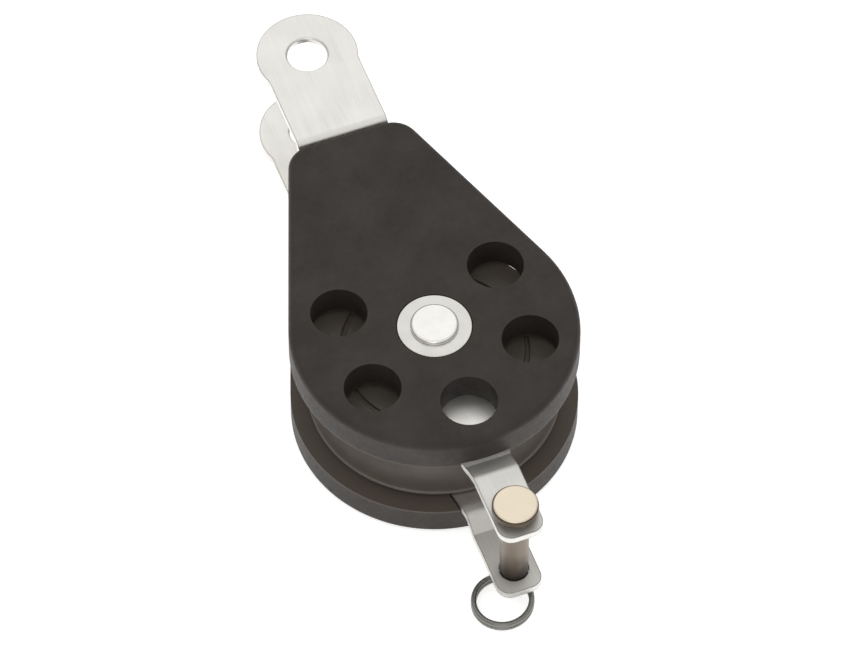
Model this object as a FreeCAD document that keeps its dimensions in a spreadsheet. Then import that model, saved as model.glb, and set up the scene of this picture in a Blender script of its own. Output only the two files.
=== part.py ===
import FreeCAD, Part
import math
import os
import re

import Sketcher

# A single sheave block with a becket: two moulded cheeks, two steel straps, one sheave on a sleeve and a
# through rivet, and a clevis pin with a split ring in the becket.
# Frame: the block lies on its back cheek. +Z is the sheave axis, +Y points to the head eyes, the origin is
# where the sheave axis meets the resting face, and all sizes are in millimetres.

SIZES = [
    ("block_thickness", 26.8, "over both cheeks"),
    ("sheave_radius", 22.5, "rim of the sheave"),
    ("cheek_margin", 3.0, "rim of the sheave to the round lower end of a cheek"),
    ("cheek_wall", 6.4, "thickness of a cheek"),
    ("cheek_edge_radius", 1.3, "rounding of a cheek's outer rim"),
    ("head_reach", 22.5, "rim of the sheave to the head edge of a cheek"),
    ("head_corner_radius", 5.0, "rounded corners of the head edge"),
    ("post_width", 3.3, "head post, across the block"),
    ("post_depth", 9.5, "head post, along the block"),
    ("post_clearance", 0.5, "strap edge to head post"),
    ("spigot_radius", 0.9, "locating spigot on a head post"),
    ("spigot_length", 1.8, "how far a spigot enters its socket"),
    ("spigot_inset", 1.65, "inner side of a post to its spigot"),
    ("spigot_drop", 5.5, "head edge to a spigot"),
    ("spigot_clearance", 0.15, "around and beyond a spigot"),
    ("window_inset", 5.6, "rim of the sheave to the centre of a round window"),
    ("window_radius", 5.0, "round window in a cheek"),
    ("window_spacing", 60.0, "degrees from one window to the next"),
    ("sheave_side_clearance", 0.2, "sheave to strap, each side"),
    ("rope_groove_radius", 5.3, "section of the rope groove"),
    ("rope_groove_depth", 5.0, "rim to the bottom of the rope groove"),
    ("ring_groove_inset", 6.2, "rim of the sheave to the fine ring groove in each of its sides"),
    ("ring_groove_width", 0.8, "width of that ring groove"),
    ("ring_groove_depth", 0.6, "depth of that ring groove"),
    ("sleeve_wall", 1.4, "bearing sleeve"),
    ("bearing_clearance", 0.08, "sheave bore to sleeve, radial"),
    ("rivet_radius", 3.5, "shank of the axle rivet"),
    ("rivet_clearance", 0.1, "rivet to each hole it passes through, radial"),
    ("rivet_head_overhang", 0.75, "how far a rivet head stands out past the shank"),
    ("rivet_head_height", 0.9, "height of a head of the axle rivet"),
    ("rivet_head_chamfer", 0.35, "broken edge of a rivet head"),
    ("washer_width", 3.0, "rivet washer, from its hole to its edge"),
    ("washer_thickness", 1.2, "rivet washer"),
    ("washer_clearance", 0.1, "washer to its seat, radial"),
    ("back_head_recess", 0.1, "resting face to the back head of the rivet"),
    ("strap_thickness", 1.5, "steel strap"),
    ("strap_recess", 0.8, "depth of the strap's channel in a cheek"),
    ("strap_side_clearance", 0.15, "strap edge to channel wall"),
    ("lug_half_width", 8.5, "head lug of a strap"),
    ("head_joggle", 4.4, "how far the head joggle sets a lug outwards"),
    ("lug_head_flare", 0.7, "how far the round head of a lug stands out past its sides"),
    ("eye_reach", 19.8, "head edge to the head eyes"),
    ("eye_radius", 3.6, "head eye"),
    ("eye_chamfer", 0.3, "broken edges of a head eye"),
    ("head_bend_gap", 0.35, "head edge to the first bend of the head joggle"),
    ("head_bend_run", 1.2, "length of the head joggle along the strap"),
    ("head_relief", 1.1, "chamfer of a cheek under the head joggle"),
    ("tail_side_margin", 1.6, "becket pin to the side of a tail"),
    ("tail_joggle", 1.7, "how far the tail joggle sets a tail outwards"),
    ("taper_start", 2.0, "sheave axis to the start of the strap's taper, on the becket side"),
    ("taper_end", 27.0, "sheave axis to the end of the strap's taper"),
    ("tail_bend_gap", 0.9, "cheek to the first bend of the tail joggle"),
    ("tail_bend_run", 3.5, "length of the tail joggle along the strap"),
    ("tail_corner_radius", 2.5, "corners of a becket tail"),
    ("bend_radius", 0.8, "inside radius of every strap bend"),
    ("becket_reach", 13.5, "round lower end of a cheek to the axis of the becket pin"),
    ("tail_end_margin", 2.2, "becket pin to the end of a tail"),
    ("pin_radius", 2.5, "shank of the becket pin"),
    ("pin_clearance", 0.1, "becket pin to strap, radial"),
    ("pin_head_overhang", 1.55, "how far the pin's head stands out past the shank"),
    ("pin_head_height", 1.6, "head of the becket pin"),
    ("pin_head_gap", 1.4, "underside of the head to the front tail, the block lying on its back"),
    ("pin_end_height", 0.1, "resting face to the free end of the becket pin"),
    ("pin_chamfer", 0.4, "broken edges of the becket pin"),
    ("cross_hole_height", 1.8, "resting face to the cross hole"),
    ("cross_hole_clearance", 0.15, "split ring's wire to the cross hole, radial"),
    ("pin_turn", -45.0, "degrees that the cross hole is turned from X"),
    ("ring_margin", 2.55, "shank of the becket pin to the middle of the split ring's wire, in radius"),
    ("wire_radius", 0.5, "wire of the split ring"),
    ("ring_pitch", 1.04, "from one turn of the split ring to the next"),
    ("ring_turns", 1.75, "turns of the split ring"),
    ("ring_tilt", 2.5, "degrees that the far side of the ring dips, the block lying on its back"),
]

# Sizes that follow from the sheet, in the words of its aliases. Radii and distances along the block are from
# the sheave axis, and distances across its thickness are from its middle plane.
HALF_THICKNESS = "(block_thickness / 2)"
HALF_GAP = f"({HALF_THICKNESS} - cheek_wall)"
STRAP_OUTER = f"({HALF_GAP} + strap_recess)"
STRAP_INNER = f"({STRAP_OUTER} - strap_thickness)"
SHEAVE_HALF = f"({STRAP_INNER} - sheave_side_clearance)"
LUG_INNER = f"({STRAP_INNER} + head_joggle)"
TAIL_INNER = f"({STRAP_INNER} + tail_joggle)"
CHEEK_RADIUS = "(sheave_radius + cheek_margin)"
WINDOW_CIRCLE = "(sheave_radius - window_inset)"
HEAD_EDGE = "(sheave_radius + head_reach)"
EYE_DISTANCE = f"({HEAD_EDGE} + eye_reach)"
LUG_HEAD = "(lug_half_width + lug_head_flare)"
POST_INNER = "(lug_half_width + post_clearance)"
POST_LOW = f"({HEAD_EDGE} - post_depth)"
HEAD_CORNER_X = f"({POST_INNER} + post_width - head_corner_radius)"
AXLE_HOLE = "(rivet_radius + rivet_clearance)"
SLEEVE_RADIUS = f"({AXLE_HOLE} + sleeve_wall)"
WASHER_RADIUS = f"({AXLE_HOLE} + washer_width)"
RIVET_HEAD = "(rivet_radius + rivet_head_overhang)"
PIN_DISTANCE = f"({CHEEK_RADIUS} + becket_reach)"
TAIL_HALF = "(pin_radius + tail_side_margin)"
TAIL_END = f"({PIN_DISTANCE} + pin_radius + tail_end_margin)"
PIN_HEAD = "(pin_radius + pin_head_overhang)"
RING_RADIUS = "(pin_radius + ring_margin)"
RING_CHORD = f"sqrt({RING_RADIUS} ^ 2 - pin_radius ^ 2)"
CROSS_HOLE = f"(wire_radius + ({RING_RADIUS} - {RING_CHORD}) / 2 + cross_hole_clearance)"
WELL_CLEAR = 5.0

doc = FreeCAD.newDocument("single_sheave_block")


# Sheet and expressions

def make_sheet():
    """Puts each driving dimension in a cell of its own, with its alias beside it."""
    table = doc.addObject("Spreadsheet::Sheet", "Sizes")
    for row, (alias, number, meaning) in enumerate(SIZES, start=1):
        table.set(f"A{row}", meaning)
        table.set(f"B{row}", str(number))
        table.setAlias(f"B{row}", alias)
    doc.recompute()
    return table


sheet = make_sheet()
ALIASES = re.compile(r"\b(" + "|".join(alias for alias, _, _ in SIZES) + r")\b")


def cells(text):
    """The same expression with every alias pointed at the sheet."""
    return ALIASES.sub(r"Sizes.\1", text)


def amount(text):
    """What an expression comes to, as a plain number."""
    found = sheet.evalExpression(cells(text))
    return float(getattr(found, "Value", found))


def bind(feature, name, text):
    feature.setExpression(name, cells(text))


# Sketches

def new_body(name):
    body = doc.addObject("PartDesign::Body", name)
    body.Label = name
    return body


def origin_feature(body, role):
    return next(feature for feature in body.Origin.OriginFeatures if feature.Role == role)


def new_sketch(body, name, role, level="0"):
    """A sketch on one of the body's own planes, moved along its normal to the level."""
    sketch = body.newObject("Sketcher::SketchObject", f"{body.Name}_{name}")
    sketch.AttachmentSupport = (origin_feature(body, role), "")
    sketch.MapMode = "FlatFace"
    if level != "0":
        bind(sketch, ".AttachmentOffset.Base.z", level)
    return sketch


def dimension(sketch, kind, geometry, point, text):
    """Ties one coordinate of a point to an expression."""
    index = sketch.addConstraint(Sketcher.Constraint(kind, -1, 1, geometry, point, amount(text)))
    bind(sketch, f"Constraints[{index}]", text)


def add_circle(sketch, x, y, radius):
    centre = FreeCAD.Vector(amount(x), amount(y), 0)
    circle = sketch.addGeometry(Part.Circle(centre, FreeCAD.Vector(0, 0, 1), amount(radius)))
    dimension(sketch, "DistanceX", circle, 3, x)
    dimension(sketch, "DistanceY", circle, 3, y)
    index = sketch.addConstraint(Sketcher.Constraint("Radius", circle, amount(radius)))
    bind(sketch, f"Constraints[{index}]", radius)


def add_outline(sketch, corners, arcs=None):
    """A closed outline, anticlockwise. Corners are pairs of expressions, and arcs gives the centre of each
    side that is an arc, by the number of the corner that it starts from."""
    arcs = arcs or {}
    points = [FreeCAD.Vector(amount(x), amount(y), 0) for x, y in corners]
    sides = []
    for number, start in enumerate(points):
        end = points[(number + 1) % len(points)]
        if number not in arcs:
            sides.append(sketch.addGeometry(Part.LineSegment(start, end)))
            continue
        centre = FreeCAD.Vector(*(amount(text) for text in arcs[number]), 0)
        circle = Part.Circle(centre, FreeCAD.Vector(0, 0, 1), (start - centre).Length)
        angles = [math.atan2(point.y - centre.y, point.x - centre.x) for point in (start, end)]
        if angles[1] < angles[0]:
            angles[1] += 2 * math.pi
        sides.append(sketch.addGeometry(Part.ArcOfCircle(circle, *angles)))
    for number, side in enumerate(sides):
        following = sides[(number + 1) % len(sides)]
        sketch.addConstraint(Sketcher.Constraint("Coincident", side, 2, following, 1))
        dimension(sketch, "DistanceX", side, 1, corners[number][0])
        dimension(sketch, "DistanceY", side, 1, corners[number][1])
    for number, (x, y) in arcs.items():
        chord = points[(number + 1) % len(points)] - points[number]
        if abs(chord.x) >= abs(chord.y):
            dimension(sketch, "DistanceY", sides[number], 3, y)
        else:
            dimension(sketch, "DistanceX", sides[number], 3, x)


def mirrored(half):
    """A right-hand half outline, from the lowest corner up, and its mirror image on the left."""
    return half + [(f"-({x})", y) for x, y in reversed(half)]


# Features

def extrude(body, kind, sketch, name, length, backwards=False):
    feature = body.newObject(f"PartDesign::{kind}", f"{body.Name}_{name}")
    feature.Profile = sketch
    bind(feature, "Length", length)
    feature.Reversed = backwards
    doc.recompute()
    return feature


def edges_where(feature, wanted):
    """The names of a feature's edges that a test picks."""
    edges = feature.Shape.Edges
    return [f"Edge{number}" for number, edge in enumerate(edges, start=1) if wanted(edge)]


def soften(body, kind, base, edges, name, size):
    """A fillet or a chamfer on named edges of the last feature."""
    feature = body.newObject(f"PartDesign::{kind}", f"{body.Name}_{name}")
    feature.Base = (base, edges)
    bind(feature, "Radius" if kind == "Fillet" else "Size", size)
    doc.recompute()
    return feature


def at_height(height):
    """A test for edges that lie wholly at one height."""
    level = amount(height)
    return lambda edge: all(abs(edge.valueAt(at).z - level) < 1e-4 for at in edge.ParameterRange)


def turned_body(name, profile):
    """A body of revolution about Z, from its half section in radius and height."""
    body = new_body(name)
    sketch = new_sketch(body, "section", "XZ_Plane")
    add_outline(sketch, profile)
    turn = body.newObject("PartDesign::Revolution", f"{name}_turn")
    turn.Profile = sketch
    turn.ReferenceAxis = (sketch, ["V_Axis"])
    turn.Angle = 360
    doc.recompute()
    return body


# Cheeks: glass-filled nylon mouldings. Each is modelled with its inner face at height 0, its outer face
# upwards and its head posts reaching down to the middle of the block.

def draw_cheek_outline(sketch):
    """A pear: a round end, straight sides that touch it, and a flat head edge with rounded corners."""
    radius = amount(CHEEK_RADIUS)
    corner = amount("head_corner_radius")
    spread = amount(HEAD_CORNER_X)
    height = amount(HEAD_EDGE)
    rise = height - corner
    reach = math.hypot(spread, rise)
    lean = math.atan2(rise, spread) - math.acos((radius - corner) / reach)
    normal = FreeCAD.Vector(math.cos(lean), math.sin(lean), 0)
    mirror = FreeCAD.Vector(-normal.x, normal.y, 0)
    right = FreeCAD.Vector(spread, rise, 0)
    left = FreeCAD.Vector(-spread, rise, 0)
    up = FreeCAD.Vector(0, 0, 1)
    origin = FreeCAD.Vector(0, 0, 0)
    crown = FreeCAD.Vector(0, corner, 0)
    geometry = [
        Part.ArcOfCircle(Part.Circle(origin, up, radius), math.pi - lean, 2 * math.pi + lean),
        Part.LineSegment(normal * radius, right + normal * corner),
        Part.ArcOfCircle(Part.Circle(right, up, corner), lean, math.pi / 2),
        Part.LineSegment(right + crown, left + crown),
        Part.ArcOfCircle(Part.Circle(left, up, corner), math.pi / 2, math.pi - lean),
        Part.LineSegment(left + mirror * corner, mirror * radius),
    ]
    sides = [sketch.addGeometry(piece) for piece in geometry]
    for number, side in enumerate(sides):
        following = sides[(number + 1) % len(sides)]
        sketch.addConstraint(Sketcher.Constraint("Tangent", side, 2, following, 1))
    end_arc, _, right_corner, head_edge, left_corner, _ = sides
    sketch.addConstraint(Sketcher.Constraint("Coincident", end_arc, 3, -1, 1))
    sketch.addConstraint(Sketcher.Constraint("Horizontal", head_edge))
    for arc, size in [(end_arc, CHEEK_RADIUS), (right_corner, "head_corner_radius"),
                      (left_corner, "head_corner_radius")]:
        index = sketch.addConstraint(Sketcher.Constraint("Radius", arc, amount(size)))
        bind(sketch, f"Constraints[{index}]", size)
    dimension(sketch, "DistanceX", right_corner, 3, HEAD_CORNER_X)
    dimension(sketch, "DistanceX", left_corner, 3, f"-{HEAD_CORNER_X}")
    dimension(sketch, "DistanceY", head_edge, 1, HEAD_EDGE)


def make_cheek(name, seat_depth, spigots):
    """One cheek. The washer's seat is as deep as given, and the posts carry spigots or sockets."""
    body = new_body(name)
    outline = new_sketch(body, "outline", "XY_Plane", f"-{HALF_GAP}")
    draw_cheek_outline(outline)
    block = extrude(body, "Pad", outline, "block", f"{HALF_GAP} + cheek_wall")
    rim = edges_where(block, at_height("cheek_wall"))
    soften(body, "Fillet", block, rim, "rim", "cheek_edge_radius")

    # The rope space leaves the plate and two posts at the corners of the head.
    wide = f"({CHEEK_RADIUS} + {WELL_CLEAR})"
    above = f"({HEAD_EDGE} + {WELL_CLEAR})"
    space = new_sketch(body, "space", "XY_Plane", f"-{HALF_GAP}")
    add_outline(space, mirrored([(wide, f"-{wide}"), (wide, POST_LOW), (POST_INNER, POST_LOW),
                                 (POST_INNER, above)]))
    extrude(body, "Pocket", space, "rope_space", HALF_GAP, backwards=True)

    # A channel open at both ends holds the strap, and its head end is eased for the strap's bend.
    slack = "strap_side_clearance"
    channel = new_sketch(body, "channel", "XY_Plane")
    add_outline(channel, mirrored([(f"{TAIL_HALF} + {slack}", f"-{wide}"),
                                   (f"{TAIL_HALF} + {slack}", "-taper_end"),
                                   (f"lug_half_width + {slack}", "-taper_start"),
                                   (f"lug_half_width + {slack}", above)]))
    groove = extrude(body, "Pocket", channel, "strap_channel", "strap_recess", backwards=True)
    lip = edges_where(groove, lambda edge: at_height("strap_recess")(edge)
                      and abs(edge.CenterOfMass.y - amount(HEAD_EDGE)) < 1e-3)
    soften(body, "Chamfer", groove, lip, "head_relief", "head_relief")

    for label, radius, depth in [("bore", AXLE_HOLE, "cheek_wall"),
                                 ("seat", f"{WASHER_RADIUS} + washer_clearance", seat_depth)]:
        circle = new_sketch(body, f"{label}_circle", "XY_Plane", "cheek_wall")
        add_circle(circle, "0", "0", radius)
        extrude(body, "Pocket", circle, label, depth)

    window = new_sketch(body, "window_circle", "XY_Plane", "cheek_wall")
    add_circle(window, f"-{WINDOW_CIRCLE} * sin(window_spacing * 1 deg)",
               f"{WINDOW_CIRCLE} * cos(window_spacing * 1 deg)", "window_radius")
    first = extrude(body, "Pocket", window, "window", "cheek_wall")
    pattern = body.newObject("PartDesign::PolarPattern", f"{name}_windows")
    pattern.Originals = [first]
    pattern.Axis = (origin_feature(body, "Z_Axis"), [""])
    pattern.Occurrences = 5
    bind(pattern, "Angle", "4 * window_spacing")
    body.Tip = pattern
    doc.recompute()

    kind = "Pad" if spigots else "Pocket"
    slack = "0" if spigots else "spigot_clearance"
    pegs = new_sketch(body, "pegs", "XY_Plane", f"-{HALF_GAP}")
    for side in ("", "-"):
        add_circle(pegs, f"{side}({POST_INNER} + spigot_inset)", f"{HEAD_EDGE} - spigot_drop",
                   f"spigot_radius + {slack}")
    extrude(body, kind, pegs, "spigots" if spigots else "sockets", f"spigot_length + {slack}",
            backwards=True)
    return body


# Straps: stainless strip, with a joggle at the head and a slighter one at the becket. Each is modelled
# above the middle plane of the block.

def bend_shift(rise, run):
    """How far the corners of a bend lie apart on the two faces of the strip, halved."""
    return f"(strap_thickness / 2 * (sqrt(({rise}) ^ 2 + ({run}) ^ 2) - ({run})) / ({rise}))"


def make_strap(name):
    body = new_body(name)
    head_shift = bend_shift("head_joggle", "head_bend_run")
    tail_shift = bend_shift("tail_joggle", "tail_bend_run")
    head_bends = [f"({HEAD_EDGE} + head_bend_gap)", f"({HEAD_EDGE} + head_bend_gap + head_bend_run)"]
    tail_bends = [f"(-{CHEEK_RADIUS} - tail_bend_gap)",
                  f"(-{CHEEK_RADIUS} - tail_bend_gap - tail_bend_run)"]
    tip = f"({EYE_DISTANCE} + {LUG_HEAD})"

    # The inner face from the becket to the head, then the outer face back.
    inner = [(f"-{TAIL_END}", TAIL_INNER), (f"{tail_bends[1]} - {tail_shift}", TAIL_INNER),
             (f"{tail_bends[0]} - {tail_shift}", STRAP_INNER),
             (f"{head_bends[0]} + {head_shift}", STRAP_INNER),
             (f"{head_bends[1]} + {head_shift}", LUG_INNER), (tip, LUG_INNER)]
    outer = [(tip, LUG_INNER), (f"{head_bends[1]} - {head_shift}", LUG_INNER),
             (f"{head_bends[0]} - {head_shift}", STRAP_INNER),
             (f"{tail_bends[0]} + {tail_shift}", STRAP_INNER),
             (f"{tail_bends[1]} + {tail_shift}", TAIL_INNER), (f"-{TAIL_END}", TAIL_INNER)]
    outer = [(along, f"{height} + strap_thickness") for along, height in outer]
    side = new_sketch(body, "side", "YZ_Plane", f"-{LUG_HEAD}")
    add_outline(side, inner + outer)
    strip = extrude(body, "Pad", side, "strip", f"2 * {LUG_HEAD}")

    # A bend's hollow face is where the strip turns towards it: the outer face at the first bends.
    hollows = [inner[1], inner[4], outer[2], outer[3]]
    rounds = [inner[2], inner[3], outer[1], outer[4]]

    def bend_edges(feature, corners):
        places = [(amount(along), amount(height)) for along, height in corners]
        return edges_where(feature, lambda edge: any(
            math.dist((point.y, point.z), place) < 1e-4
            for place in places for point in [edge.CenterOfMass])
            and abs(edge.tangentAt(edge.FirstParameter).x) > 0.99)

    hollow = soften(body, "Fillet", strip, bend_edges(strip, hollows), "hollows", "bend_radius")
    soften(body, "Fillet", hollow, bend_edges(hollow, rounds), "rounds", "bend_radius + strap_thickness")

    # The blank's outline is trimmed out of the bent strip, with the axle hole, the eye and the pin hole.
    low = f"-{TAIL_END}"
    corner = f"({low} + tail_corner_radius)"
    inset = f"({TAIL_HALF} - tail_corner_radius)"
    shoulder = f"({EYE_DISTANCE} - sqrt({LUG_HEAD} ^ 2 - lug_half_width ^ 2))"
    blank = mirrored([(inset, low), (TAIL_HALF, corner), (TAIL_HALF, "-taper_end"),
                      ("lug_half_width", "-taper_start"), ("lug_half_width", shoulder)])
    last = len(blank) - 1
    trim = new_sketch(body, "blank", "XY_Plane")
    add_outline(trim, blank, {0: (inset, corner), 4: ("0", EYE_DISTANCE), last - 1: (f"-{inset}", corner)})
    far = f"({LUG_HEAD} + {WELL_CLEAR})"
    add_outline(trim, mirrored([(far, f"{low} - {WELL_CLEAR}"), (far, f"{tip} + {WELL_CLEAR}")]))
    extrude(body, "Pocket", trim, "trim", "block_thickness", backwards=True)
    for label, y, radius in [("axle_hole", "0", AXLE_HOLE),
                             ("pin_hole", f"-{PIN_DISTANCE}", "pin_radius + pin_clearance"),
                             ("eye", EYE_DISTANCE, "eye_radius")]:
        circle = new_sketch(body, f"{label}_circle", "XY_Plane")
        add_circle(circle, "0", y, radius)
        last_hole = extrude(body, "Pocket", circle, label, "block_thickness", backwards=True)
    eye_y = amount(EYE_DISTANCE)
    eye_edges = edges_where(last_hole, lambda edge: hasattr(edge.Curve, "Radius") and edge.isClosed()
                            and abs(edge.Curve.Center.y - eye_y) < 1e-3)
    soften(body, "Chamfer", last_hole, eye_edges, "eye_chamfer", "eye_chamfer")
    return body


# Sheave, sleeve, rivet and washers: all turned about the sheave axis.

def make_sheave():
    """Acetal sheave, modelled about its own middle plane, with a round rope groove."""
    half = SHEAVE_HALF
    bore = f"({SLEEVE_RADIUS} + bearing_clearance)"
    near = "(sheave_radius - ring_groove_inset - ring_groove_width / 2)"
    far = "(sheave_radius - ring_groove_inset + ring_groove_width / 2)"
    floor = f"({half} - ring_groove_depth)"
    upper = [("sheave_radius", half), (far, half), (far, floor), (near, floor), (near, half), (bore, half)]
    lower = [(radius, f"-{height}") for radius, height in reversed(upper)]
    body = turned_body("sheave", lower + upper)
    groove_sketch = new_sketch(body, "groove_section", "XZ_Plane")
    add_circle(groove_sketch, "sheave_radius - rope_groove_depth + rope_groove_radius", "0",
               "rope_groove_radius")
    groove = body.newObject("PartDesign::Groove", "sheave_groove")
    groove.Profile = groove_sketch
    groove.ReferenceAxis = (groove_sketch, ["V_Axis"])
    groove.Angle = 360
    doc.recompute()
    return body


def make_sleeve():
    """Steel tube that the sheave runs on. It holds the straps apart."""
    bottom = f"-{STRAP_INNER}"
    return turned_body("bearing_sleeve", [(AXLE_HOLE, bottom), (SLEEVE_RADIUS, bottom),
                                          (SLEEVE_RADIUS, STRAP_INNER), (AXLE_HOLE, STRAP_INNER)])


def make_rivet():
    """Axle rivet. The front head stands proud of the front washer, and the back head is let in."""
    foot = "back_head_recess"
    under = "(back_head_recess + rivet_head_height)"
    top = "(block_thickness + rivet_head_height)"
    edge = f"({RIVET_HEAD} - rivet_head_chamfer)"
    return turned_body("axle_rivet", [
        ("0", foot), (edge, foot), (RIVET_HEAD, f"{foot} + rivet_head_chamfer"),
        (RIVET_HEAD, under), ("rivet_radius", under), ("rivet_radius", "block_thickness"),
        (RIVET_HEAD, "block_thickness"), (RIVET_HEAD, f"{top} - rivet_head_chamfer"),
        (edge, top), ("0", top)])


def make_washer(name, bottom):
    """Steel washer under a head of the axle rivet."""
    top = f"({bottom} + washer_thickness)"
    return turned_body(name, [(AXLE_HOLE, bottom), (WASHER_RADIUS, bottom), (WASHER_RADIUS, top),
                              (AXLE_HOLE, top)])


# Becket pin and split ring

def make_pin():
    """Clevis pin with a flat head, modelled about its own axis. The cross hole leaves room for the bow of
    the split ring's wire inside the pin."""
    under = f"({HALF_THICKNESS} + {TAIL_INNER} + strap_thickness + pin_head_gap)"
    top = f"({under} + pin_head_height)"
    edge = f"({PIN_HEAD} - pin_chamfer)"
    end = "(pin_radius - pin_chamfer)"
    body = turned_body("becket_pin", [
        ("0", "pin_end_height"), (end, "pin_end_height"), ("pin_radius", "pin_end_height + pin_chamfer"),
        ("pin_radius", under), (PIN_HEAD, under), (PIN_HEAD, f"{top} - pin_chamfer"), (edge, top),
        ("0", top)])
    hole = new_sketch(body, "cross_hole_circle", "YZ_Plane", f"-{PIN_HEAD}")
    add_circle(hole, "0", "cross_hole_height", CROSS_HOLE)
    extrude(body, "Pocket", hole, "cross_hole", f"2 * {PIN_HEAD}", backwards=True)
    return body


def make_split_ring():
    """Spring wire coiled on itself, modelled about its own centre with its coil rising from height 0."""
    body = new_body("split_ring")
    wire = new_sketch(body, "wire", "XZ_Plane")
    add_circle(wire, RING_RADIUS, "0", "wire_radius")
    coil = body.newObject("PartDesign::AdditiveHelix", "split_ring_coil")
    coil.Profile = wire
    coil.ReferenceAxis = (wire, ["V_Axis"])
    coil.Mode = "pitch-height-angle"
    bind(coil, "Pitch", "ring_pitch")
    bind(coil, "Height", "ring_pitch * ring_turns")
    doc.recompute()
    return body


# Assembly

def place(body, height, turn=None, y="0"):
    """Sets a body at its height and distance along the block, turned about an axis if asked."""
    if turn:
        axis, angle = turn
        body.Placement = FreeCAD.Placement(FreeCAD.Vector(), FreeCAD.Rotation(axis, angle))
    bind(body, ".Placement.Base.z", height)
    bind(body, ".Placement.Base.y", y)


def place_ring(body):
    """Threads the ring through the cross hole. The wire's bow inside the pin is shared about the hole's
    axis, and the stretch with a single turn is the one in the hole."""
    reach = amount(f"({RING_RADIUS} + {RING_CHORD}) / 2")
    across = FreeCAD.Vector(1, 0, 0)
    upright = FreeCAD.Vector(0, 0, 1)
    still = FreeCAD.Rotation()
    middle_turn = 360 * amount("ring_turns") / 2
    steps = [
        FreeCAD.Placement(FreeCAD.Vector(0, -amount(PIN_DISTANCE), amount("cross_hole_height")),
                          FreeCAD.Rotation(upright, amount("pin_turn"))),
        FreeCAD.Placement(FreeCAD.Vector(), FreeCAD.Rotation(across, amount("ring_tilt"))),
        FreeCAD.Placement(FreeCAD.Vector(0, -reach, 0), FreeCAD.Rotation(upright, 90 - middle_turn)),
        FreeCAD.Placement(FreeCAD.Vector(0, 0, -amount("ring_pitch * ring_turns") / 2), still),
    ]
    whole = FreeCAD.Placement()
    for step in steps:
        whole = whole.multiply(step)
    body.Placement = whole


def make_all():
    """Builds every piece in its place."""
    across = FreeCAD.Vector(0, 1, 0)
    upright = FreeCAD.Vector(0, 0, 1)
    over = (across, 180)
    front_cheek = make_cheek("front_cheek", "washer_thickness", spigots=False)
    back_cheek = make_cheek("back_cheek", "washer_thickness + rivet_head_height + back_head_recess",
                            spigots=True)
    front_strap = make_strap("front_strap")
    back_strap = make_strap("back_strap")
    sheave = make_sheave()
    sleeve = make_sleeve()
    rivet = make_rivet()
    front_washer = make_washer("front_washer", "(block_thickness - washer_thickness)")
    back_washer = make_washer("back_washer", "(back_head_recess + rivet_head_height)")
    pin = make_pin()
    ring = make_split_ring()

    place(front_cheek, "block_thickness - cheek_wall")
    place(back_cheek, "cheek_wall", over)
    place(front_strap, HALF_THICKNESS)
    place(back_strap, HALF_THICKNESS, over)
    place(sheave, HALF_THICKNESS)
    place(sleeve, HALF_THICKNESS)
    place(pin, "0", (upright, amount("pin_turn")), f"-{PIN_DISTANCE}")
    place_ring(ring)
    doc.recompute()
    return [front_cheek, back_cheek, front_strap, back_strap, sheave, sleeve, rivet, front_washer,
            back_washer, pin, ring]


def check(pieces):
    """Stops the build if any object failed or any piece isn't one sound solid."""
    for item in doc.Objects:
        if "Invalid" in item.State or "Error" in item.State:
            raise RuntimeError(f"{item.Name} failed: {item.State}")
    for piece in pieces:
        shape = piece.Shape
        if shape.isNull() or not shape.isValid() or len(shape.Solids) != 1:
            raise RuntimeError(f"{piece.Label} is not one sound solid")


def export(pieces):
    os.makedirs("parts", exist_ok=True)
    for piece in pieces:
        piece.Shape.exportStep(os.path.join("parts", f"{piece.Label}.step"))
        box = piece.Shape.BoundBox
        print(f"{piece.Label}: volume {piece.Shape.Volume:.1f}, "
              f"x {box.XMin:.2f} {box.XMax:.2f}, y {box.YMin:.2f} {box.YMax:.2f}, "
              f"z {box.ZMin:.2f} {box.ZMax:.2f}")


pieces = make_all()
check(pieces)
export(pieces)
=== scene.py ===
import math

import bpy
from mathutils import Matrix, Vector


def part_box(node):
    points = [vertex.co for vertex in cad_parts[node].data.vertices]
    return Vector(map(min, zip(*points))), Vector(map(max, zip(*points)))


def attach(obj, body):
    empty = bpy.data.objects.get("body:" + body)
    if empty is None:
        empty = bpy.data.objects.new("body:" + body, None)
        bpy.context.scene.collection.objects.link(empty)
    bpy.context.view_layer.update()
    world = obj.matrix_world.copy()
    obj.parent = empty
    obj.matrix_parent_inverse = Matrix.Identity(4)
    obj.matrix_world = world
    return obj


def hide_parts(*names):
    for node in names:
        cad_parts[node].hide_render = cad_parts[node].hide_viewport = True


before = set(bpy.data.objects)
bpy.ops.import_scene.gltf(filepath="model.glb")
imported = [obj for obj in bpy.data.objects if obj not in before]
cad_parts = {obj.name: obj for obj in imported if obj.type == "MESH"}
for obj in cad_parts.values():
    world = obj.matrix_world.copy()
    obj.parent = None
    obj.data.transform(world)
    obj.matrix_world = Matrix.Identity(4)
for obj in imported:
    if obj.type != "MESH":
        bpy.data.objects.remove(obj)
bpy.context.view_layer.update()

# ---------------------------------------------------------------------------------------------------
# Studio. The block lies on a back-lit white table under a wide soft box, with a smaller one filling
# the near side, in a room that is white above and dimmer at eye level. So steel that faces up goes
# white, and its edges and bends go grey; the strap's edges are also painted grey.
# ---------------------------------------------------------------------------------------------------
MM = 0.001
CAMERA_AZIMUTH = -20.7
CAMERA_ELEVATION = 55.0
CAMERA_DISTANCE = 1.0
CAMERA_LENS = 243.1
AIM_ASIDE = -1.5 * MM
AIM_ALONG = 0.7 * MM
TABLE_SIZE = 4.0
TABLE_GLOW = 0.6
OVERHEAD_PLACE = (0.15, 0.62, 0.95)
OVERHEAD_SIZE = 0.9
OVERHEAD_WATTS = 0.6
FILL_PLACE = (-0.45, -0.9, 0.55)
FILL_SIZE = 0.6
FILL_WATTS = 1.0
HORIZON_GLOW = 0.3
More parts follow.
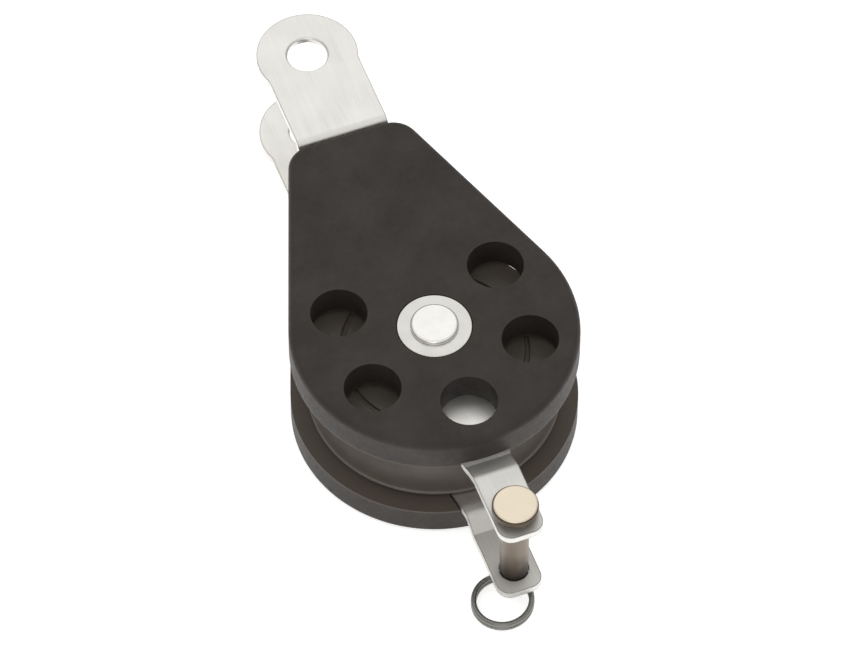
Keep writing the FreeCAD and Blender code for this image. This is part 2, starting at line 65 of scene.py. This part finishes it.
ZENITH_GLOW = 0.95
ZENITH_HEIGHT = 0.75     # the upward share of a direction at which the room is at its whitest


def linear_colour(hex_code):
    """An sRGB hex colour as the linear RGBA that a shader takes."""
    shares = [int(hex_code[at:at + 2], 16) / 255 for at in (1, 3, 5)]
    return [s / 12.92 if s <= 0.04045 else ((s + 0.055) / 1.055) ** 2.4 for s in shares] + [1.0]


def new_material(name):
    """A material with an empty node tree."""
    material = bpy.data.materials.new(name)
    material.use_nodes = True
    material.node_tree.nodes.clear()
    return material


def add_node(tree, kind, settings=None, links=None):
    """Adds a node. Settings are its own properties, or its input sockets by name or number, and links
    are the sockets that feed its inputs."""
    node = tree.nodes.new(kind)
    for name, value in (settings or {}).items():
        if isinstance(name, str) and hasattr(node, name):
            setattr(node, name, value)
        else:
            node.inputs[name].default_value = value
    for name, source in (links or {}).items():
        tree.links.new(node.inputs[name], source)
    return node


def deselect():
    bpy.ops.object.select_all(action="DESELECT")


deselect()
bpy.ops.mesh.primitive_plane_add(size=TABLE_SIZE, location=(0, 0, 0))
table = bpy.context.object
table.name = "table_top"
acrylic = new_material("back_lit_white_acrylic")
glow = add_node(acrylic.node_tree, "ShaderNodeBsdfPrincipled", {
    "Base Color": linear_colour("#f6f6f5"), "Roughness": 0.8, "Specular IOR Level": 0.2,
    "Emission Color": linear_colour("#ffffff"), "Emission Strength": TABLE_GLOW})
add_node(acrylic.node_tree, "ShaderNodeOutputMaterial", links={"Surface": glow.outputs["BSDF"]})
table.data.materials.append(acrylic)


def soft_light(name, place, size, watts):
    """A square soft box at a place, turned to face the block."""
    deselect()
    bpy.ops.object.light_add(type="AREA", location=place)
    lamp = bpy.context.object
    lamp.name = name
    lamp.data.shape = "SQUARE"
    lamp.data.size = size
    lamp.data.energy = watts
    lamp.rotation_euler = (-Vector(place)).to_track_quat("-Z", "Y").to_euler()


soft_light("overhead_box", OVERHEAD_PLACE, OVERHEAD_SIZE, OVERHEAD_WATTS)
soft_light("front_fill", FILL_PLACE, FILL_SIZE, FILL_WATTS)

world = bpy.data.worlds.new("white_room")
world.use_nodes = True
room = world.node_tree
room.nodes.clear()
direction = add_node(room, "ShaderNodeTexCoord")
height = add_node(room, "ShaderNodeSeparateXYZ", links={0: direction.outputs["Generated"]})
shade = add_node(room, "ShaderNodeMapRange",
                 {"From Max": ZENITH_HEIGHT, "To Min": HORIZON_GLOW, "To Max": ZENITH_GLOW},
                 {"Value": height.outputs["Z"]})
sky = add_node(room, "ShaderNodeBackground", {"Color": linear_colour("#fbfaf8")},
               {"Strength": shade.outputs["Result"]})
add_node(room, "ShaderNodeOutputWorld", links={"Surface": sky.outputs["Background"]})
bpy.context.scene.world = world
bpy.context.scene.view_settings.view_transform = "Standard"

azimuth = math.radians(CAMERA_AZIMUTH)
elevation = math.radians(CAMERA_ELEVATION)
aim = Vector((AIM_ASIDE, AIM_ALONG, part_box("front_cheek")[1].z))
backwards = Vector((math.sin(azimuth) * math.cos(elevation), -math.cos(azimuth) * math.cos(elevation),
                    math.sin(elevation)))
bpy.ops.object.camera_add(location=aim + backwards * CAMERA_DISTANCE)
camera = bpy.context.object
camera.rotation_euler = (-backwards).to_track_quat("-Z", "Y").to_euler()
camera.data.lens = CAMERA_LENS
camera.data.clip_end = 20.0
bpy.context.scene.camera = camera

# ---------------------------------------------------------------------------------------------------
# Cheeks. Two halves injection moulded in glass-filled nylon, spigoted together at the head posts and
# clamped by the axle rivet. Every edge that the tool leaves has a small radius.
# ---------------------------------------------------------------------------------------------------
CHEEK_EDGE_RADIUS = 0.30 * MM
MERGE_DISTANCE = 0.0005 * MM
FLAT_ANGLE = math.radians(0.05)
SHARP_ANGLE = math.radians(36)
CHEEK_WORN_EDGE = 0.5 * MM
FLAT_AGREEMENT = 0.985     # of the rounded normal with the surface's own, where wear begins to show
EDGE_AGREEMENT = 0.80      # and where it shows in full
SHEAVE_TO_CHEEK = 0.9 * MM     # from the sheave's side face to the cheek's inner face
INSIDE_LIGHT_FADE = 0.6 * MM
SPECK_SIZE = 0.9 * MM
MOTTLE_SIZE = 9.0 * MM
GRAIN_DEPTH = 0.05 * MM
NYLON_DARK = "#2c2724"
NYLON_LIGHT = "#38322e"
NYLON_WORN = "#433d38"
# painted light: the paler grey given to the cheeks' faces between the cheeks, where shade falls
NYLON_INSIDE_PAINTED_LIGHT = "#585049"


def apply_modifiers(piece):
    """Applies a piece's modifiers in their order; the piece is the active object."""
    for modifier in list(piece.modifiers):
        bpy.ops.object.modifier_apply(modifier=modifier.name)


def eased_copy(node, name, radius, segments=2):
    """A copy of a CAD node's mesh, its loose triangles merged, with its sharp edges eased to a radius."""
    deselect()
    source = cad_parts[node]
    piece = bpy.data.objects.new(name, source.data.copy())
    bpy.context.scene.collection.objects.link(piece)
    piece.data.name = name
    piece.data.materials.clear()
    piece.select_set(True)
    bpy.context.view_layer.objects.active = piece
    bpy.ops.object.mode_set(mode="EDIT")
    bpy.ops.mesh.select_all(action="SELECT")
    bpy.ops.mesh.remove_doubles(threshold=MERGE_DISTANCE)
    bpy.ops.mesh.dissolve_limited(angle_limit=FLAT_ANGLE)
    bpy.ops.object.mode_set(mode="OBJECT")
    ease = piece.modifiers.new("eased_edges", "BEVEL")
    ease.width = radius
    ease.segments = segments
    ease.limit_method = "ANGLE"
    ease.angle_limit = SHARP_ANGLE
    ease.use_clamp_overlap = True
    apply_modifiers(piece)
    bpy.ops.object.shade_smooth_by_angle(angle=SHARP_ANGLE)
    normals = piece.modifiers.new("flat_faces_stay_flat", "WEIGHTED_NORMAL")
    normals.keep_sharp = True
    apply_modifiers(piece)
    return piece


def fit(piece, node, body, material):
    """Puts a finished piece in place of its CAD node, on its body and in its finish."""
    piece.data.materials.append(material)
    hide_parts(node)
    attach(piece, body)


def edge_mask(tree, reach):
    """From 0 on flats to 1 on edges: how far the rounded normal turns from the surface's own."""
    rounded = add_node(tree, "ShaderNodeBevel", {"samples": 6, "Radius": reach})
    surface = add_node(tree, "ShaderNodeNewGeometry")
    along = add_node(tree, "ShaderNodeVectorMath", {"operation": "DOT_PRODUCT"},
                     {0: rounded.outputs["Normal"], 1: surface.outputs["Normal"]})
    return add_node(tree, "ShaderNodeMapRange", {"From Min": FLAT_AGREEMENT, "From Max": EDGE_AGREEMENT},
                    {"Value": along.outputs["Value"]})


def moulded_nylon(middle, half_gap):
    """Glass-filled nylon, injection moulded: a warm black with a dull sheen, faintly mottled where the
    glass lies near the skin, with a fine spark-eroded grain and edges rubbed a little paler. The faces
    within half_gap of the block's middle plane, between the cheeks, are painted paler grey: painted light
    that lifts their shade."""
    material = new_material("moulded_glass_filled_nylon")
    tree = material.node_tree
    place = add_node(tree, "ShaderNodeTexCoord").outputs["Object"]
    mottle = add_node(tree, "ShaderNodeTexNoise", {"Scale": 1 / MOTTLE_SIZE, "Detail": 3.0, "Roughness": 0.6},
                      {"Vector": place})
    specks = add_node(tree, "ShaderNodeTexNoise", {"Scale": 1 / SPECK_SIZE, "Detail": 4.0, "Roughness": 0.7},
                      {"Vector": place})
    tone = add_node(tree, "ShaderNodeMapRange", {"From Min": 0.35, "From Max": 0.65},
                    {"Value": mottle.outputs["Fac"]})
    skin = add_node(tree, "ShaderNodeMix", {"data_type": "RGBA", 6: linear_colour(NYLON_DARK),
                                            7: linear_colour(NYLON_LIGHT)}, {0: tone.outputs["Result"]})
    worn = edge_mask(tree, CHEEK_WORN_EDGE)
    patchy = add_node(tree, "ShaderNodeMath", {"operation": "MULTIPLY"},
                      {0: worn.outputs["Result"], 1: specks.outputs["Fac"]})
    colour = add_node(tree, "ShaderNodeMix", {"data_type": "RGBA", 7: linear_colour(NYLON_WORN)},
                      {0: patchy.outputs["Value"], 6: skin.outputs[2]})
    level = add_node(tree, "ShaderNodeSeparateXYZ", links={0: place})
    # painted light: faces within the gap between the cheeks are painted paler grey to lift their shade
    off_middle = add_node(tree, "ShaderNodeMath", {"operation": "SUBTRACT", 1: middle},
                          {0: level.outputs["Z"]})
    depth = add_node(tree, "ShaderNodeMath", {"operation": "ABSOLUTE"}, {0: off_middle.outputs["Value"]})
    inside = add_node(tree, "ShaderNodeMapRange",
                      {"From Min": half_gap + INSIDE_LIGHT_FADE, "From Max": half_gap},
                      {"Value": depth.outputs["Value"]})
    lit_inside = add_node(tree, "ShaderNodeMix", {"data_type": "RGBA", 7: linear_colour(NYLON_INSIDE_PAINTED_LIGHT)},
                      {0: inside.outputs["Result"], 6: colour.outputs[2]})
    gloss = add_node(tree, "ShaderNodeMapRange",
                     {"From Min": 0.3, "From Max": 0.7, "To Min": 0.46, "To Max": 0.62},
                     {"Value": specks.outputs["Fac"]})
    grain = add_node(tree, "ShaderNodeBump", {"Strength": 0.22, "Distance": GRAIN_DEPTH},
                     {"Height": specks.outputs["Fac"]})
    shader = add_node(tree, "ShaderNodeBsdfPrincipled", {"IOR": 1.53, "Specular IOR Level": 0.3},
                      {"Base Color": lit_inside.outputs[2], "Roughness": gloss.outputs["Result"],
                       "Normal": grain.outputs["Normal"]})
    add_node(tree, "ShaderNodeOutputMaterial", links={"Surface": shader.outputs["BSDF"]})
    return material


cheek_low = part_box("front_cheek")[0]
block_middle = cheek_low.z     # the cheeks' posts meet at the block's middle plane
nylon = moulded_nylon(block_middle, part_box("sheave")[1].z - block_middle + SHEAVE_TO_CHEEK)
for side in ("back", "front"):
    cheek = eased_copy(f"{side}_cheek", f"{side}_cheek_moulding", CHEEK_EDGE_RADIUS)
    fit(cheek, f"{side}_cheek", "frame", nylon)

# ---------------------------------------------------------------------------------------------------
# Straps. Stainless strip blanked to shape, joggled in a press, then polished lengthwise: bright flats
# with faint drawn lines, and tumbled edges. Each lies in the channel of its cheek, under the washers.
# ---------------------------------------------------------------------------------------------------
STRAP_EDGE_RADIUS = 0.22 * MM
POLISH_LINE = 0.35 * MM     # real lines are a tenth of this, too fine to show
POLISH_STREAK = 14.0 * MM
STRAP_BRIGHT = "#e8e7e4"
# painted shade: the strap's rounded edges are painted this dark grey, standing in for a dark reflection
STRAP_DULL = "#dddbd7"
STRAP_EDGE_PAINTED_SHADE = "#5f5d59"
STRAP_SHADED_EDGE_REACH = 0.45 * MM
SMEAR_SIZE = 6.0 * MM
MARK_DEPTH = 0.02 * MM     # of polishing lines and tool marks on every steel piece
TAIL_SCUFF = 0.20
TAIL_SCUFF_FADE = 1.0 * MM


def polished_strip(tail_start):
    """Stainless steel strip, polished lengthwise: near-white reflections drawn out along the strap, with
    faint lines and edges painted dark grey as a painted reflection. Past tail_start the becket tails are
    scuffed to a satin."""
    material = new_material("lengthwise_polished_stainless_steel")
    tree = material.node_tree
    place = add_node(tree, "ShaderNodeTexCoord").outputs["Object"]
    stretch = add_node(tree, "ShaderNodeMapping",
                       {"Scale": (1 / POLISH_LINE, 1 / POLISH_STREAK, 1 / POLISH_LINE)}, {"Vector": place})
    lines = add_node(tree, "ShaderNodeTexNoise", {"Scale": 1.0, "Detail": 5.0, "Roughness": 0.65},
                     {"Vector": stretch.outputs["Vector"]})
    smears = add_node(tree, "ShaderNodeTexNoise", {"Scale": 1 / SMEAR_SIZE, "Detail": 2.0}, {"Vector": place})
    # painted shade: this mask paints the strap's edges dark grey, a painted reflection rather than wear
    worn = edge_mask(tree, STRAP_SHADED_EDGE_REACH)
    tone = add_node(tree, "ShaderNodeMix", {"data_type": "RGBA", 6: linear_colour(STRAP_BRIGHT),
                                            7: linear_colour(STRAP_DULL)}, {0: lines.outputs["Fac"]})
    edge = add_node(tree, "ShaderNodeMix", {"data_type": "RGBA", 7: linear_colour(STRAP_EDGE_PAINTED_SHADE)},
                    {0: worn.outputs["Result"], 6: tone.outputs[2]})
    rub = add_node(tree, "ShaderNodeMath", {"operation": "MULTIPLY"},
                   {0: lines.outputs["Fac"], 1: smears.outputs["Fac"]})
    gloss = add_node(tree, "ShaderNodeMapRange",
                     {"From Min": 0.15, "From Max": 0.4, "To Min": 0.30, "To Max": 0.44},
                     {"Value": rub.outputs["Value"]})
    along = add_node(tree, "ShaderNodeSeparateXYZ", links={0: place})
    tail = add_node(tree, "ShaderNodeMapRange",
                    {"From Min": tail_start + TAIL_SCUFF_FADE, "From Max": tail_start},
                    {"Value": along.outputs["Y"]})
    satin = add_node(tree, "ShaderNodeMath", {"operation": "MULTIPLY_ADD", 1: TAIL_SCUFF},
                     {0: tail.outputs["Result"], 2: gloss.outputs["Result"]})
    drawn = add_node(tree, "ShaderNodeBump", {"Strength": 0.12, "Distance": MARK_DEPTH},
                     {"Height": lines.outputs["Fac"]})
    shader = add_node(tree, "ShaderNodeBsdfPrincipled", {"Metallic": 1.0},
                      {"Base Color": edge.outputs[2], "Roughness": satin.outputs["Value"],
                       "Normal": drawn.outputs["Normal"]})
    add_node(tree, "ShaderNodeOutputMaterial", links={"Surface": shader.outputs["BSDF"]})
    return material


strip_steel = polished_strip(cheek_low.y)
for side in ("back", "front"):
    strap = eased_copy(f"{side}_strap", f"{side}_strap_strip", STRAP_EDGE_RADIUS)
    fit(strap, f"{side}_strap", "frame", strip_steel)

# ---------------------------------------------------------------------------------------------------
# Bearing sleeve. A length of drawn stainless tube that holds the straps apart; the sheave runs on it.
# It is seen only edge on, between sheave and strap, so it keeps soft drawing lines and a ground end.
# ---------------------------------------------------------------------------------------------------
SLEEVE_EDGE_RADIUS = 0.15 * MM
SLEEVE_BRIGHT = "#d4d3cf"
SLEEVE_DULL = "#bdbbb6"
TURNING_FEED = 0.30 * MM
STAIN_SIZE = 2.5 * MM
STAIN_DULLING = 0.14
WAVES_PER_UNIT = 2 * math.pi / 20     # a wave texture of scale 1 has this ring spacing


def turned_steel(name, bright, dull, least_roughness):
    """Steel turned or pressed in the round: fine rings about the sheave's axis, broken up a little, and
    faint stains that dull the shine in patches."""
    material = new_material(name)
    tree = material.node_tree
    place = add_node(tree, "ShaderNodeTexCoord").outputs["Object"]
    rings = add_node(tree, "ShaderNodeTexWave",
                     {"wave_type": "RINGS", "rings_direction": "Z", "Scale": WAVES_PER_UNIT / TURNING_FEED,
                      "Distortion": 1.2, "Detail": 2.0, "Detail Scale": 1.5}, {"Vector": place})
    stains = add_node(tree, "ShaderNodeTexNoise", {"Scale": 1 / STAIN_SIZE, "Detail": 4.0}, {"Vector": place})
    tone = add_node(tree, "ShaderNodeMix", {"data_type": "RGBA", 6: linear_colour(bright),
                                            7: linear_colour(dull)}, {0: stains.outputs["Fac"]})
    gloss = add_node(tree, "ShaderNodeMapRange",
                     {"To Min": least_roughness, "To Max": least_roughness + STAIN_DULLING},
                     {"Value": stains.outputs["Fac"]})
    marks = add_node(tree, "ShaderNodeBump", {"Strength": 0.10, "Distance": MARK_DEPTH},
                     {"Height": rings.outputs["Fac"]})
    shader = add_node(tree, "ShaderNodeBsdfPrincipled", {"Metallic": 1.0},
                      {"Base Color": tone.outputs[2], "Roughness": gloss.outputs["Result"],
                       "Normal": marks.outputs["Normal"]})
    add_node(tree, "ShaderNodeOutputMaterial", links={"Surface": shader.outputs["BSDF"]})
    return material


sleeve = eased_copy("bearing_sleeve", "drawn_bearing_tube", SLEEVE_EDGE_RADIUS)
fit(sleeve, "bearing_sleeve", "frame",
    turned_steel("drawn_stainless_tube", SLEEVE_BRIGHT, SLEEVE_DULL, least_roughness=0.28))

# ---------------------------------------------------------------------------------------------------
# Sheave. Black acetal turned from bar, with a round rope groove, a fine ring groove in each side and
# broken edges. It spins on the sleeve between the straps.
# ---------------------------------------------------------------------------------------------------
SHEAVE_EDGE_RADIUS = 0.22 * MM
SHEAVE_FEED = 0.45 * MM     # real feed marks are about a quarter of this
SHEAVE_MARK_DEPTH = 0.03 * MM
RUB_SIZE = 3.0 * MM
ACETAL_DARK = "#59524b"
ACETAL_RUBBED = "#68615a"


def turned_acetal():
    """Black acetal turned from bar: smooth and waxy, with feed rings that stretch the highlight round the
    groove, and a little grey where rope and straps have rubbed it."""
    material = new_material("turned_black_acetal")
    tree = material.node_tree
    place = add_node(tree, "ShaderNodeTexCoord").outputs["Object"]
    rings = add_node(tree, "ShaderNodeTexWave",
                     {"wave_type": "RINGS", "rings_direction": "Z", "Scale": WAVES_PER_UNIT / SHEAVE_FEED,
                      "Distortion": 0.6, "Detail": 1.0}, {"Vector": place})
    rubs = add_node(tree, "ShaderNodeTexNoise", {"Scale": 1 / RUB_SIZE, "Detail": 4.0}, {"Vector": place})
    tone = add_node(tree, "ShaderNodeMix", {"data_type": "RGBA", 6: linear_colour(ACETAL_DARK),
                                            7: linear_colour(ACETAL_RUBBED)}, {0: rubs.outputs["Fac"]})
    gloss = add_node(tree, "ShaderNodeMapRange", {"To Min": 0.26, "To Max": 0.42},
                     {"Value": rubs.outputs["Fac"]})
    marks = add_node(tree, "ShaderNodeBump", {"Strength": 0.18, "Distance": SHEAVE_MARK_DEPTH},
                     {"Height": rings.outputs["Fac"]})
    shader = add_node(tree, "ShaderNodeBsdfPrincipled", {"IOR": 1.48},
                      {"Base Color": tone.outputs[2], "Roughness": gloss.outputs["Result"],
                       "Normal": marks.outputs["Normal"]})
    add_node(tree, "ShaderNodeOutputMaterial", links={"Surface": shader.outputs["BSDF"]})
    return material


sheave = eased_copy("sheave", "turned_sheave", SHEAVE_EDGE_RADIUS)
fit(sheave, "sheave", "sheave", turned_acetal())

# ---------------------------------------------------------------------------------------------------
# Rivet washers. Pressed stainless rings that spread the rivet's clamping over the soft nylon. Each is
# let into a seat in its cheek, the front one flush and the back one deeper, under its rivet head.
# ---------------------------------------------------------------------------------------------------
WASHER_EDGE_RADIUS = 0.20 * MM
WASHER_BRIGHT = "#dbdad7"
WASHER_DULL = "#cccac6"

washer_steel = turned_steel("pressed_stainless_washer", WASHER_BRIGHT, WASHER_DULL,
                            least_roughness=0.22)
for side in ("back", "front"):
    washer = eased_copy(f"{side}_washer", f"{side}_rivet_washer", WASHER_EDGE_RADIUS)
    fit(washer, f"{side}_washer", "frame", washer_steel)

# ---------------------------------------------------------------------------------------------------
# Axle rivet. A solid stainless rivet through cheeks, washers, straps and sleeve, closed in a press:
# the front head is low and flat with a broken edge, and the back one is let in so the block rests flat.
# ---------------------------------------------------------------------------------------------------
RIVET_EDGE_RADIUS = 0.20 * MM
RIVET_BRIGHT = "#f4f3f0"
RIVET_DULL = "#e4e2de"

rivet = eased_copy("axle_rivet", "pressed_axle_rivet", RIVET_EDGE_RADIUS, segments=3)
fit(rivet, "axle_rivet", "frame",
    turned_steel("pressed_stainless_rivet", RIVET_BRIGHT, RIVET_DULL, least_roughness=0.22))

# ---------------------------------------------------------------------------------------------------
# Becket pin. A stainless clevis pin turned from bar, with a flat head and a cross hole near its end.
# It hangs by its head from the front tail, and turns freely in both tails.
# ---------------------------------------------------------------------------------------------------
PIN_EDGE_RADIUS = 0.15 * MM
PIN_HEAD_HEIGHT = 1.6 * MM
PIN_FACE_DEPTH = 0.12 * PIN_HEAD_HEIGHT
PIN_FEED = 0.25 * MM
PIN_STAIN_SIZE = 2.0 * MM
# The pin's colours paint its light and shade: a painted highlight on the head's faced top, painted shade on
# the head's side and shank, darkest towards the shank's lower end.
SHADE_DRIFT = 4.0 * MM
SHADE_START = 15.0 * MM     # above the pin's free end, and lower by up to the drift
SHADE_FULL = 8.0 * MM
PIN_FACE_PAINTED_HIGHLIGHT = "#e8dcc8"
PIN_SHANK_PAINTED_SHADE = "#80766b"
PIN_LOW_PAINTED_SHADE = "#2e2722"
PIN_HEAD_SIDE_PAINTED_SHADE = "#574d42"


def turned_pin_steel(low, high):
    """Stainless bar turned with a coarse feed and left as it came: the faced head is painted bright and
    faintly yellow as a painted highlight, and the shank is painted brown-grey as painted shade, darkest at
    its lower end and on the head's side."""
    material = new_material("turned_stainless_bar")
    tree = material.node_tree
    place = add_node(tree, "ShaderNodeTexCoord").outputs["Object"]
    centre = (low + high) / 2
    centred = add_node(tree, "ShaderNodeMapping", {"Location": (-centre.x, -centre.y, 0)}, {"Vector": place})
    faced = add_node(tree, "ShaderNodeTexWave",
                     {"wave_type": "RINGS", "rings_direction": "Z", "Scale": WAVES_PER_UNIT / PIN_FEED,
                      "Distortion": 0.8, "Detail": 1.0}, {"Vector": centred.outputs["Vector"]})
    turned = add_node(tree, "ShaderNodeTexWave",
                      {"wave_type": "BANDS", "bands_direction": "Z", "Scale": WAVES_PER_UNIT / PIN_FEED,
                       "Distortion": 0.8, "Detail": 1.0}, {"Vector": centred.outputs["Vector"]})
    cuts = add_node(tree, "ShaderNodeMath", {"operation": "ADD"},
                    {0: faced.outputs["Fac"], 1: turned.outputs["Fac"]})
    level = add_node(tree, "ShaderNodeSeparateXYZ", links={0: place})
    stains = add_node(tree, "ShaderNodeTexNoise",
                      {"Scale": 1 / PIN_STAIN_SIZE, "Detail": 5.0, "Roughness": 0.65}, {"Vector": place})
    drift = add_node(tree, "ShaderNodeMath", {"operation": "MULTIPLY_ADD", 1: SHADE_DRIFT},
                     {0: stains.outputs["Fac"], 2: level.outputs["Z"]})
    # painted shade: the shank darkens towards its lower end, with a noisy border
    low_shade = add_node(tree, "ShaderNodeMapRange",
                     {"From Min": low.z + SHADE_START, "From Max": low.z + SHADE_FULL},
                     {"Value": drift.outputs["Value"]})
    shank = add_node(tree, "ShaderNodeMix", {"data_type": "RGBA", 6: linear_colour(PIN_SHANK_PAINTED_SHADE),
                                             7: linear_colour(PIN_LOW_PAINTED_SHADE)}, {0: low_shade.outputs["Result"]})
    # painted shade on the side of the head
    headed = add_node(tree, "ShaderNodeMath", {"operation": "GREATER_THAN", 1: high.z - PIN_HEAD_HEIGHT},
                      {0: level.outputs["Z"]})
    shaded = add_node(tree, "ShaderNodeMix", {"data_type": "RGBA", 7: linear_colour(PIN_HEAD_SIDE_PAINTED_SHADE)},
                      {0: headed.outputs["Value"], 6: shank.outputs[2]})
    # painted highlight on the head's faced top
    topped = add_node(tree, "ShaderNodeMath",
                      {"operation": "GREATER_THAN", 1: high.z - PIN_FACE_DEPTH}, {0: level.outputs["Z"]})
    colour = add_node(tree, "ShaderNodeMix", {"data_type": "RGBA", 7: linear_colour(PIN_FACE_PAINTED_HIGHLIGHT)},
                      {0: topped.outputs["Value"], 6: shaded.outputs[2]})
    gloss = add_node(tree, "ShaderNodeMapRange", {"To Min": 0.32, "To Max": 0.48},
                     {"Value": stains.outputs["Fac"]})
    marks = add_node(tree, "ShaderNodeBump", {"Strength": 0.12, "Distance": MARK_DEPTH},
                     {"Height": cuts.outputs["Value"]})
    shader = add_node(tree, "ShaderNodeBsdfPrincipled", {"Metallic": 1.0},
                      {"Base Color": colour.outputs[2], "Roughness": gloss.outputs["Result"],
                       "Normal": marks.outputs["Normal"]})
    add_node(tree, "ShaderNodeOutputMaterial", links={"Surface": shader.outputs["BSDF"]})
    return material


pin = eased_copy("becket_pin", "turned_clevis_pin", PIN_EDGE_RADIUS)
fit(pin, "becket_pin", "becket_pin", turned_pin_steel(*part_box("becket_pin")))

# ---------------------------------------------------------------------------------------------------
# Split ring. Hard-drawn spring wire coiled on itself and threaded through the pin's cross hole, which
# keeps the pin from backing out. Its ends are cropped and deburred.
# ---------------------------------------------------------------------------------------------------
RING_EDGE_RADIUS = 0.12 * MM
SCRATCH_SIZE = 0.6 * MM
WIRE_DARK = "#72726f"
WIRE_LIGHT = "#8f8e8a"


def spring_wire():
    """Hard-drawn spring wire: bright but greyer than the polished strip, with die lines broken into short
    scratches by handling."""
    material = new_material("hard_drawn_spring_wire")
    tree = material.node_tree
    place = add_node(tree, "ShaderNodeTexCoord").outputs["Object"]
    scratches = add_node(tree, "ShaderNodeTexNoise",
                         {"Scale": 1 / SCRATCH_SIZE, "Detail": 5.0, "Roughness": 0.7}, {"Vector": place})
    tone = add_node(tree, "ShaderNodeMix", {"data_type": "RGBA", 6: linear_colour(WIRE_DARK),
                                            7: linear_colour(WIRE_LIGHT)}, {0: scratches.outputs["Fac"]})
    gloss = add_node(tree, "ShaderNodeMapRange", {"To Min": 0.18, "To Max": 0.38},
                     {"Value": scratches.outputs["Fac"]})
    marks = add_node(tree, "ShaderNodeBump", {"Strength": 0.12, "Distance": MARK_DEPTH},
                     {"Height": scratches.outputs["Fac"]})
    shader = add_node(tree, "ShaderNodeBsdfPrincipled", {"Metallic": 1.0},
                      {"Base Color": tone.outputs[2], "Roughness": gloss.outputs["Result"],
                       "Normal": marks.outputs["Normal"]})
    add_node(tree, "ShaderNodeOutputMaterial", links={"Surface": shader.outputs["BSDF"]})
    return material


ring = eased_copy("split_ring", "sprung_split_ring", RING_EDGE_RADIUS)
fit(ring, "split_ring", "split_ring", spring_wire())
